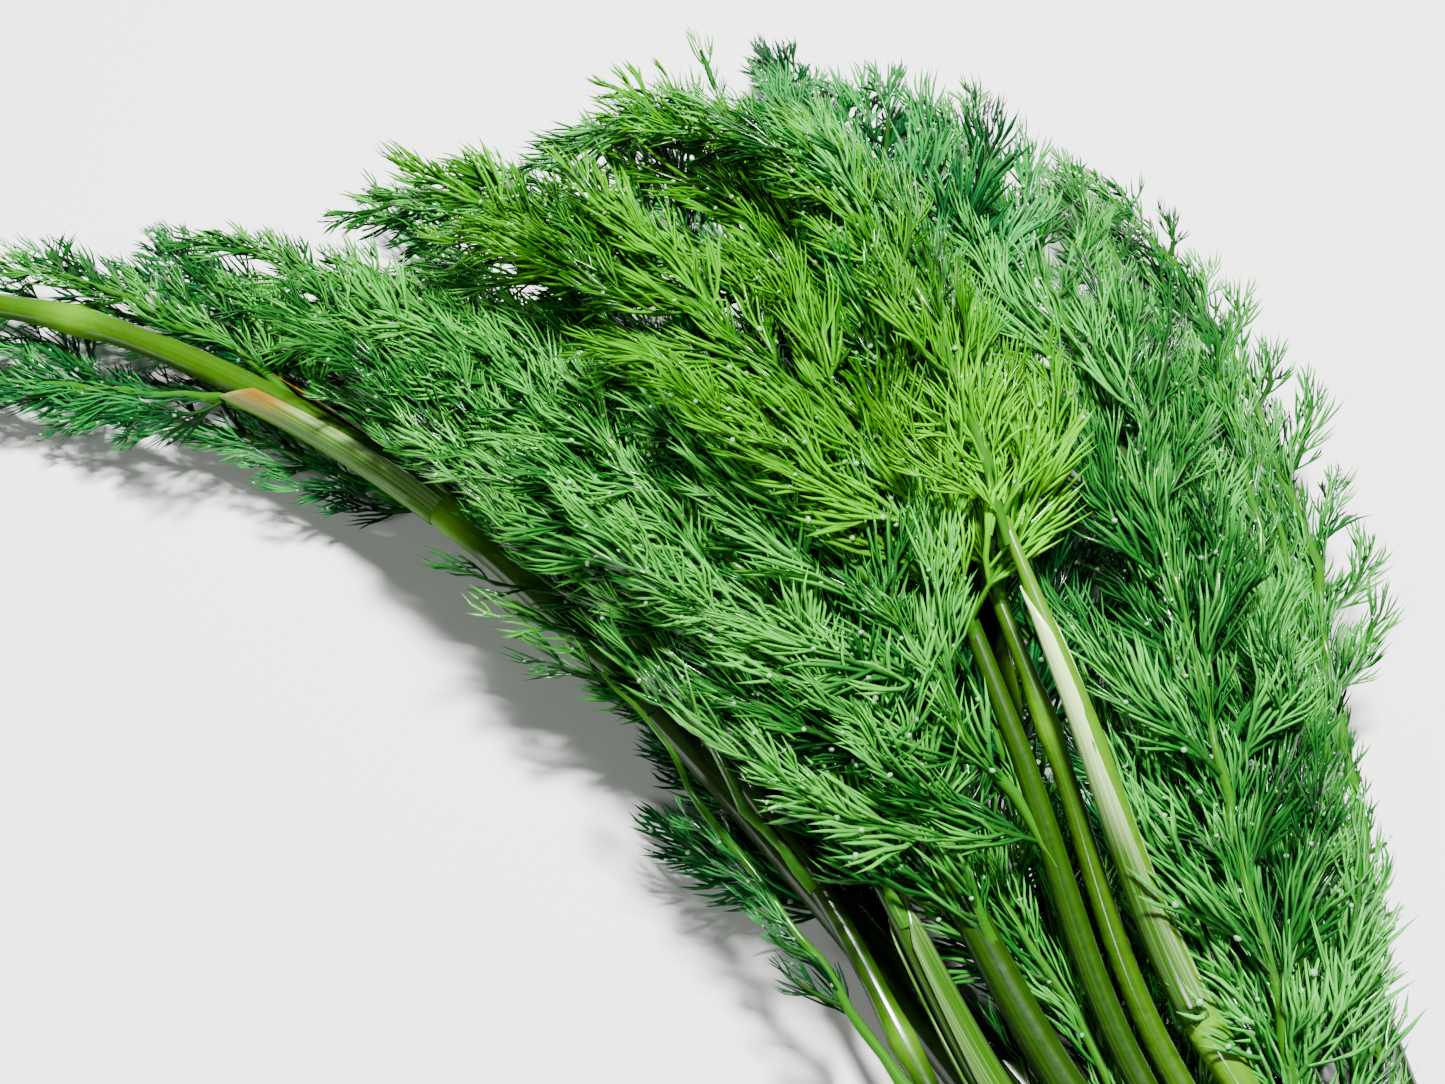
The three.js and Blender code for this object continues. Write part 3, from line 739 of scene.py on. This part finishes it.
# Fronds by their stems: the y where each leaves it, on which side (degrees left of straight up), its heading
# (degrees left of +Y), how far it curls left, its length, the heights of its middle and tip, the length of
# its longest leaflets, and its colour where that isn't green.
fronds = {
    "left": [
        (60, -70, 28, 6, 48, 17, 12, 16), (107, 0, 34, 10, 36, 9, 5, 16),
        (20, -80, 9, 12, 76, 14, 9, 30, "deep"), (64, 110, 40, 16, 54, 9, 6, 20, "deep"),
        (-20, -90, 2, 15, 88, 20, 18, 30),
    ],
    "under": [
        (-58, 90, 4, 0, 60, 5, 5, 22, "deep"), (30, 90, 30, 22, 72, 8, 6, 20, "deep"),
        (62, -60, 36, 20, 58, 8, 6, 26, "deep"), (-30, -90, 0, 5, 100, 5, 4, 30, "deep"),
    ],
    "slim": [(-28, 60, -2, 20, 64, 29, 29, 26), (-60, 90, 6, -2, 56, 20, 20, 22, "deep")],
    "broad": [(-38, 0, 6, 14, 70, 34, 31, 30), (-6, 90, 14, 12, 46, 28, 24, 24)],
    "shiny": [
        (-86, -100, -2, 0, 76, 20, 23, 28), (-48, 0, 4, 12, 80, 38, 34, 30),
        (-6, 80, 16, 14, 74, 31, 24, 28), (16, 80, 20, 8, 80, 25, 13, 30),
        (26, -80, 10, 12, 56, 28, 21, 26),
    ],
    "smooth": [
        (-46, 90, 6, 0, 84, 42, 36, 30), (-18, 0, 12, 12, 72, 47, 40, 30, "young"),
        (22, 60, 14, 22, 52, 37, 26, 26), (32, -60, -16, 0, 24, 41, 44, 12),
    ],
    "parallel": [(-14, 0, -12, 30, 66, 44, 44, 28, "young")],
    "pale": [(-90, -80, -20, -4, 88, 32, 38, 30), (-12, 0, -16, 44, 62, 53, 48, 28, "young")],
    "right": [
        (-78, -90, -34, 8, 80, 27, 29, 28), (-22, -80, -36, 14, 72, 24, 11, 28),
        (-6, 60, -22, 10, 60, 30, 20, 28),
    ],
    "outer": [
        (-92, 60, -26, 2, 82, 20, 22, 28), (-72, -80, -31, 2, 62, 9, 8, 22),
        (-43, 0, -33, 30, 88, 13, 5, 26),
    ],
    "middle": [
        (-92, 80, -3, -6, 84, 13, 16, 28), (-32, 80, -8, 0, 96, 21, 14, 30, "deep"),
        (-8, 0, -28, 84, 78, 51, 37, 30), (20, -80, -14, 4, 52, 31, 17, 28, "deep"),
    ],
    "low": [
        (-62, -90, -38, 10, 84, 4, 4, 26, "deep"), (-16, -90, -28, 5, 78, 5, 4, 28, "deep"),
        (-22, 90, -6, 0, 92, 6, 4, 30), (34, 80, -12, 4, 50, 7, 4, 26, "deep"),
    ],
}
frondSizes = {
    "millimetres": {
        "Longest leaflet": 30, "Usual leaflet": 26, "Sprig spacing": 2.22, "Sprig length": 13.5,
        "Midrib radius": 0.8, "Midrib tip radius": 0.3, "Rib radius": 0.42, "Rib tip radius": 0.24,
        "Wander": 8.8, "Ripple": 4.8, "Table gap": 0.9, "Soft landing": 2, "Clear width": 3.1,
        "Stray length": 20, "Midrib spacing": 3, "Flat below": 3, "Free above": 16,
    },
    "degrees": {
        "Leaflet angle": 22, "Angle spread": 8, "Lift low": -8, "Lift high": 16, "Roll": 25,
        "Sprig angle low": 6, "Sprig angle high": 24, "Sprig lift low": -20, "Sprig lift high": 26,
        "Sprig roll": 50, "Stray angle": 45, "Stray lift": 5,
    },
    "numbers": {
        "Leaflet pairs": 9, "First leaflet": 0.06, "Last leaflet": 0.93, "Stagger": 0.02, "Left share": 1.0,
        "Right share": 1.0, "Leaflet size low": 0.88, "Leaflet size high": 1.1, "Shortening": 0.55,
        "Tip leaflet": 0.7, "Low opening": 1.5, "High opening": 0.75, "Bow": 0.32, "Droop": -0.1,
        "Rib points": 8, "Sprig kinds": sprigSizes["kinds"], "Sprig size low": 0.8, "Sprig size high": 1.15,
        "Sprig at end": 0.62, "First sprig": 0.08, "Last sprig": 0.97, "Random shade": 0.45,
        "Flat roll": 0.25, "Midrib reach": 0.75, "Wander scale": 38.0, "Ripple scale": 65.0, "Strays": 0.0,
        "Stray leaflets": 3, "First stray": 0.2, "Last stray": 0.4, "Bare share": 0.55, "Seed": 0,
    },
    # the midrib's line: how far it stands off its stem and its stalk starts back, and its lowest point
    "standOff": 1.52, "stalkStart": 12, "stalkBend": 0.55, "spans": 5, "lowest": 2,
    # threads part over these stems, from and to these y, and a little to the left of the line
    "clearWays": {"left": (-75, 98, 0.3), "smooth": (-95, -29, 0.0), "parallel": (-80, -28, 0.0),
                  "broad": (-110, -54, 0.0), "shiny": (-110, -66, 0.0)},
    "clearRise": (-10.8, -18.4, 34.0), "clearSteps": 30,
    # leaflets that go their own way: where on the midrib they start, and their angle, lift and length
    "strays": {"Left5": (0.22, 0.36, 46, 9, 21), "Low1": (0.03, 0.28, 64, 3, 27)},
    # the share of the longest leaflet, for all fronds, and left, right and at the tip of those at the rim
    "leaflets": 0.9,
    "rim": {
        "Left2": (0.55, 0.2, 0.6), "Left3": (0.8, 0.35, 0.5), "Left4": (0.8, 1.0, 0.8),
        "Under1": (1.15, 0.8, 1.0), "Under2": (0.6, 0.8, 0.7), "Under3": (0.6, 0.8, 0.7),
        "Slim2": (0.3, 1.0, 0.8), "Shiny4": (0.85, 0.6, 0.25), "Shiny5": (0.85, 0.4, 0.3),
        "Smooth4": (0.5, 0.5, 0.8), "Parallel1": (0.9, 0.75, 0.7), "Pale2": (0.6, 0.48, 0.3),
        "Right1": (1.0, 0.4, 0.8), "Right2": (0.8, 0.4, 0.4), "Right3": (1.0, 0.7, 0.7),
        "Outer1": (1.0, 0.2, 0.8), "Outer2": (0.7, 0.1, 0.8), "Outer3": (1.0, 0.6, 0.6),
        "Middle3": (0.9, 0.3, 0.3), "Low1": (1.2, 0.5, 0.6), "Low2": (0.75, 0.4, 0.35),
        "Low3": (0.8, 0.5, 0.5), "Low4": (0.6, 0.4, 0.4),
    },
    # green fronds of a softer shade, which lie on the right
    "soft": ("Right1", "Right2", "Right3", "Middle3", "Pale1", "Outer1", "Outer3"),
    # fronds whose first leaflets start further up
    "bare": {"Under1": 0.42, "Under2": 0.3, "Slim2": 0.28},
}


def makeClearWay():
    # sheets that stand on some stems, over which the threads part
    points, faces, rise, steps = [], [], Vector(frondSizes["clearRise"]), frondSizes["clearSteps"]
    for stem, (low, high, aside) in frondSizes["clearWays"].items():
        line = stemLines[stem]
        start, end = line.shareAt(low), line.shareAt(high)
        for i in range(steps + 1):
            at, _, left, _ = line.place(start + (end - start) * i / steps)
            points += [inFrame(at + left * aside), inFrame(at + left * aside + rise)]
            if i:
                k = len(points)
                faces.append((k - 4, k - 3, k - 1, k - 2))
    return bpy.data.objects.new("clearWay", newMesh("clearWay", points, [], faces, {}))


clearWay = makeClearWay()


def frondLine(stem, row):
    y, side, heading, curl, length, middle, tip = row[:7]
    stemLine, sizes = stemLines[stem], frondSizes
    share = stemLine.shareAt(y)
    at, _, left, up = stemLine.place(share)
    away, side = radiusAt(stem, share) + sizes["standOff"], radians(side)
    foot = at + left * (away * sin(side)) + up * (away * cos(side))
    points, spans = [foot], sizes["spans"]
    for i in range(1, spans + 1):
        angle = radians(heading + curl * (i - 0.5) / spans)
        s = i / spans
        height = foot.z * (1 - s) * (1 - 2 * s) + middle * 4 * s * (1 - s) + tip * s * (2 * s - 1)
        x = points[-1].x - sin(angle) * length / spans
        points.append(Vector((x, points[-1].y + cos(angle) * length / spans, max(sizes["lowest"], height))))
    # its stalk grows out of the stem a little further back
    back = stemLine.place(max(0.0, share - sizes["stalkStart"] / stemLine.lengths[-1]))[0]
    return [back, back.lerp(foot, sizes["stalkBend"])] + Line(points, 8).points


def buildFrondTree():
    bench = NodeBench("frondTree", "GeometryNodeTree", {
        "Midrib": "Geometry", "Sprigs": "Collection", "Clear way": "Object", "Leaf": "Material",
        **plainSizes(frondSizes),
    }, {"Frond": "Geometry"})
    given, lay, geo, calc, times = bench.given, bench.lay, bench.geo, bench.calc, bench.times
    mix, keep, read, change, mapped, minus = (
        bench.mix, bench.keep, bench.read, bench.change, bench.mapped, bench.minus)
    place, along = geo("InputPosition")[0], geo("SplineParameter")["Factor"]
    x, y, z = lay("ShaderNodeSeparateXYZ", {0: place})
    seeds = iter(range(1, 60))

    def seed():
        # each random value has a seed of its own
        return calc("ADD", given["Seed"], float(next(seeds) * 101))

    def chance(low, high):
        return lay("FunctionNodeRandomValue", {2: low, 3: high, "Seed": seed()}, data_type="FLOAT")[1]

    def between(label):
        return chance(given[label + " low"], given[label + " high"])

    def turned(tangent, roll, lift, swing):
        # a frame along the tangent with its Y level, then swung, lifted and rolled
        left = bench.vector("CROSS_PRODUCT", (0.0, 0.0, 1.0), tangent)
        axes = {0: tangent, 1: left}
        level = lay("FunctionNodeAxesToRotation", axes, primary_axis="X", secondary_axis="Y")[0]
        turn = lay("FunctionNodeEulerToRotation", {0: bench.xyz(roll, times(lift, -1.0), swing)})[0]
        return lay("FunctionNodeRotateRotation", {0: level, 1: turn}, rotation_space="LOCAL")[0]

    def clearOfTable(lift, length):
        # what starts low may not point down, and lies flatter
        return calc("MAXIMUM", lift, calc("DIVIDE", minus(given["Table gap"], z), length))

    def rolled(label):
        free = mapped(z, given["Flat below"], given["Free above"], given["Flat roll"], 1.0)
        return times(times(chance(-1.0, 1.0), given[label]), free)

    sheet = geo("ObjectInfo", {"Object": given["Clear way"]})["Geometry"]

    def staysClear(rotation, length, shares):
        # whether what points along X stays off the clear way at these shares of its length
        clear = 1.0
        for share in shares:
            ahead = bench.xyz(times(length, share), 0.0, 0.0)
            ahead = lay("FunctionNodeRotateVector", {0: ahead, 1: rotation})[0]
            there = {"Geometry": sheet, "Sample Position": bench.vector("ADD", place, ahead)}
            off = geo("Proximity", there)["Distance"]
            clear = times(clear, calc("GREATER_THAN", off, given["Clear width"]))
        return clear

    midrib = geo("MeshToCurve", {"Mesh": given["Midrib"]})[0]

    def leaflets(side, first, last, count, lengthLow, lengthHigh, size=1.0, stray=False):
        part = geo("TrimCurve", {"Curve": midrib, 2: first, 3: last}, mode="FACTOR")[0]
        spots = geo("CurveToPoints", {"Curve": part, "Count": count}, mode="COUNT")
        step = calc("DIVIDE", geo("InputIndex")[0], calc("MAXIMUM", minus(count, 1.0), 1.0))
        length = times(times(mix(lengthLow, lengthHigh, step), between("Leaflet size")), size)
        points = keep(keep(spots["Points"], "reach", length), "tone", chance(0.0, 1.0))
        points = keep(points, "stray", float(stray))
        lift = clearOfTable(between("Lift"), length)
        spread = times(chance(-1.0, 1.0), given["Angle spread"])
        # the lowest leaflets open wider
        opening = times(given["Leaflet angle"], mix(given["Low opening"], given["High opening"], step))
        if stray:
            lift, opening = given["Stray lift"], given["Stray angle"]
        swing = calc("MULTIPLY_ADD", opening, float(side), spread)
        roll = rolled("Roll")
        rib = geo("CurvePrimitiveLine", {"Start": (0.0, 0.0, 0.0), "End": (1.0, 0.0, 0.0)})[0]
        square = times(along, along)
        bow = times(minus(along, square), times(given["Bow"], float(side)))
        rib = change("SetPosition", bench.evenly(rib, "COUNT", given["Rib points"]),
                     Offset=bench.xyz(0.0, bow, times(square, given["Droop"])))
        rotation = turned(spots["Tangent"], roll, lift, swing)
        kept = given["Strays"] if stray else staysClear(rotation, length, (0.2, 0.4, 0.6, 0.8, 1.0))
        return change("RealizeInstances", geo("InstanceOnPoints", {
            "Points": points, "Instance": rib, "Rotation": rotation, "Scale": length, "Selection": kept,
        })[0])

    longest = given["Longest leaflet"]
    shortest, atTip = times(longest, given["Shortening"]), times(longest, given["Tip leaflet"])
    pairs, first, last = (given[label] for label in ("Leaflet pairs", "First leaflet", "Last leaflet"))
    strays = [given[label] for label in ("First stray", "Last stray", "Stray leaflets", "Stray length")]
    early = minus(first, given["Stagger"])
    ribs = bench.join([
        leaflets(1, first, last, pairs, longest, shortest, given["Left share"]),
        leaflets(-1, early, last, pairs, longest, shortest, given["Right share"]),
        leaflets(0, 0.985, 1.0, 1, atTip, atTip),
        leaflets(1, *strays, given["Stray length"], stray=True),
    ])
    ribs = keep(ribs, "share", along)

    def drift(noise, amount):
        return bench.scaled(bench.vector("SUBTRACT", noise, (0.5, 0.5, 0.5)), amount)

    # the ribs wander a little, more towards their ends
    noise = lay("ShaderNodeTexNoise", {
        "Vector": place, "W": times(given["Seed"], 3.7), "Scale": given["Wander scale"], "Detail": 1.0,
    }, noise_dimensions="4D")[1]
    ribs = change("SetPosition", ribs, Offset=drift(noise, times(given["Wander"], read("share"))))
    above = bench.xyz(x, y, calc("MAXIMUM", z, given["Table gap"]))
    ribs = change("SetPosition", ribs, Position=above)

    def sprigsOn(spots, side, kept):
        size = calc("POWER", calc("DIVIDE", read("reach"), given["Usual leaflet"]), 0.5)
        size = times(times(size, mix(1.0, given["Sprig at end"], read("share"))), between("Sprig size"))
        length = times(given["Sprig length"], size)
        lift = clearOfTable(between("Sprig lift"), length)
        swing = between("Sprig angle")
        roll = rolled("Sprig roll")
        # what points up is in the light
        raised = mapped(lift, given["Sprig lift low"], given["Sprig lift high"])
        points = keep(spots["Points"], "shade", mix(raised, chance(0.0, 1.0), given["Random shade"]))
        kinds = lay("FunctionNodeRandomValue", {4: 0, 5: minus(given["Sprig kinds"], 1.0), "Seed": seed()},
                    data_type="INT")[2]
        # a sprig bends forward on either side
        roll = calc("ADD", roll, pi) if side < 0 else roll
        rotation = turned(spots["Tangent"], roll, lift, times(swing, float(side)))
        thinned = times(read("stray"), calc("GREATER_THAN", chance(0.0, 1.0), given["Bare share"]))
        clear = calc("MAXIMUM", staysClear(rotation, length, (0.0, 0.5, 0.95)), thinned)
        return geo("InstanceOnPoints", {
            "Points": points, "Selection": times(kept, clear), "Pick Instance": True, "Instance Index": kinds,
            "Instance": geo("CollectionInfo", {
                "Collection": given["Sprigs"], "Separate Children": True, "Reset Children": True,
            })[0],
            "Rotation": rotation, "Scale": length,
        })[0]

    # the midrib hides in threads of its own
    spine = geo("TrimCurve", {"Curve": midrib, 2: early, 3: 1.0}, mode="FACTOR")[0]
    reach = times(longest, mix(given["Left share"], given["Right share"], 0.5))
    onSpine = {"reach": times(reach, given["Midrib reach"]), "tone": 0.5, "share": mix(0.2, 0.9, along)}
    for label, value in onSpine.items():
        spine = keep(spine, label, value)
    lines = {"Curve": bench.join([ribs, spine]), "Length": given["Sprig spacing"]}
    spots = geo("CurveToPoints", lines, mode="LENGTH")
    share = read("share")
    inside = times(calc("GREATER_THAN", share, given["First sprig"]),
                   calc("LESS_THAN", share, given["Last sprig"]))
    ends = geo("CurveToPoints", {"Curve": ribs}, mode="EVALUATED")
    threads = change("RealizeInstances", bench.join([
        sprigsOn(spots, 1, inside), sprigsOn(spots, -1, inside),
        sprigsOn(ends, 0, calc("GREATER_THAN", share, 0.99)),
    ]))

    def stalkOn(curve, sides, label, stalk):
        width = mix(given[label + " radius"], given[label + " tip radius"], along)
        mesh = bench.tube(keep(curve, "width", width), bench.circle(sides), "width")
        return change("SetShadeSmooth", keep(keep(mesh, "along", -0.3), "stalk", stalk))

    stalk = keep(keep(bench.evenly(midrib, "LENGTH", given["Midrib spacing"]), "tone", 0.6), "shade", 0.6)
    ribMesh = stalkOn(keep(ribs, "shade", 0.5), 4, "Rib", 0.3)
    frondMesh = change("RealizeInstances", bench.join([threads, ribMesh, stalkOn(stalk, 7, "Midrib", 1.0)]))
    # threads bend softly, and what is near the table lies on it
    noise = lay("ShaderNodeTexNoise", {
        "Vector": place, "Scale": given["Ripple scale"], "Detail": 2.0, "Roughness": 0.6,
    })[1]
    frondMesh = change("SetPosition", frondMesh, Offset=drift(noise, given["Ripple"]))
    soft = given["Soft landing"]
    low = times(calc("EXPONENT", calc("DIVIDE", minus(z, soft), soft)), soft)
    onTable = calc("MAXIMUM", calc("MINIMUM", low, soft), z)
    frondMesh = change("SetPosition", frondMesh, Position=bench.xyz(x, y, onTable))
    bench.give("Frond", change("SetMaterial", frondMesh, Material=given["Leaf"]))
    return bench


def growFrond(stem, count, row, seed, bench):
    sizes = frondSizes
    spot = f"{stem.capitalize()}{count}"
    longest, colour = (*row[7:], "green")[:2]
    left, right, tip = sizes["rim"].get(spot, (1.0, 1.0, 1.0))
    values = plainSizes(sizes) | {
        "Leaf": leafMaterials["soft" if spot in sizes["soft"] else colour], "Sprigs": sprigs, "Seed": seed,
        "Longest leaflet": longest * sizes["leaflets"] * millimetre, "Left share": left, "Right share": right,
        "Clear way": clearWay,
    }
    values["Tip leaflet"] *= tip
    values["First leaflet"] = sizes["bare"].get(spot, values["First leaflet"])
    if spot in sizes["strays"]:
        first, last, angle, lift, length = sizes["strays"][spot]
        values |= {"Strays": 1.0, "First stray": first, "Last stray": last, "Stray angle": radians(angle),
                   "Stray lift": radians(lift), "Stray length": length * millimetre}
    obj = growTree("frond" + spot, bench, values, [inFrame(point) for point in frondLine(stem, row)], {})
    asPiece(obj, f"frond_{stem}_{count}")


frondBench = buildFrondTree()
frondRows = [(stem, count, row) for stem, rows in fronds.items() for count, row in enumerate(rows, 1)]
for seed, (stem, count, row) in enumerate(frondRows):
    growFrond(stem, count, row, seed, frondBench)
print("fronds:", len(frondRows))
for obj in list(sprigs.objects):
    bpy.data.objects.remove(obj)
bpy.data.collections.remove(sprigs)
bpy.data.objects.remove(clearWay)

# The table, the lights with their place, width and power, and the camera: its azimuth and elevation, and its
# lens, sensor and nearest distance.
stageSizes = {
    "floor": 3.0, "floorColour": (0.80, 0.80, 0.79, 1), "skyStrength": 0.04,
    "lights": {"keyLight": ((0.13, 0.15, 0.77), 0.10, 31.0), "fillLight": ((-0.5, -0.3, 0.7), 0.12, 2.2)},
    "view": (-30.0, 58.0), "distance": 0.245, "target": Vector((0.0034, 0.0109, 0.030)),
    "camera": (50.0, 36.0, 0.005),
}


def aim(obj, place, target):
    obj.location = place
    obj.rotation_euler = (target - place).to_track_quat("-Z", "Y").to_euler()


half = stageSizes["floor"] / 2
corners = [(-half, -half, 0), (half, -half, 0), (half, half, 0), (-half, half, 0)]
floor = addObject("floor", newMesh("floor", corners, [], [(0, 1, 2, 3)], {}))
paint = Finish("floorPaint", Roughness=0.7, Base_Color=stageSizes["floorColour"])
floor.data.materials.append(paint.material)
floor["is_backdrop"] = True

for name, (place, width, power) in stageSizes["lights"].items():
    light = bpy.data.lights.new(name, "AREA")
    light.size, light.energy = width, power
    aim(addObject(name, light), Vector(place), Vector())
world = bpy.data.worlds.new("world")
world.use_nodes = True
sky = world.node_tree.nodes["Background"].inputs
sky["Color"].default_value, sky["Strength"].default_value = (1, 1, 1, 1), stageSizes["skyStrength"]
bpy.context.scene.world = world

azimuth, elevation = map(radians, stageSizes["view"])
back = Vector((sin(azimuth) * cos(elevation), -cos(azimuth) * cos(elevation), sin(elevation)))
camera = addObject("camera", bpy.data.cameras.new("camera"))
camera.data.lens, camera.data.sensor_width, camera.data.clip_start = stageSizes["camera"]
aim(camera, stageSizes["target"] + back * stageSizes["distance"], stageSizes["target"])
bpy.context.scene.camera = camera
print("stage: floor, lights, camera")

boxes = {"cad": cadBox, "visual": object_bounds()}
{key: [list(map(float, corner)) for corner in box] for key, box in boxes.items()}
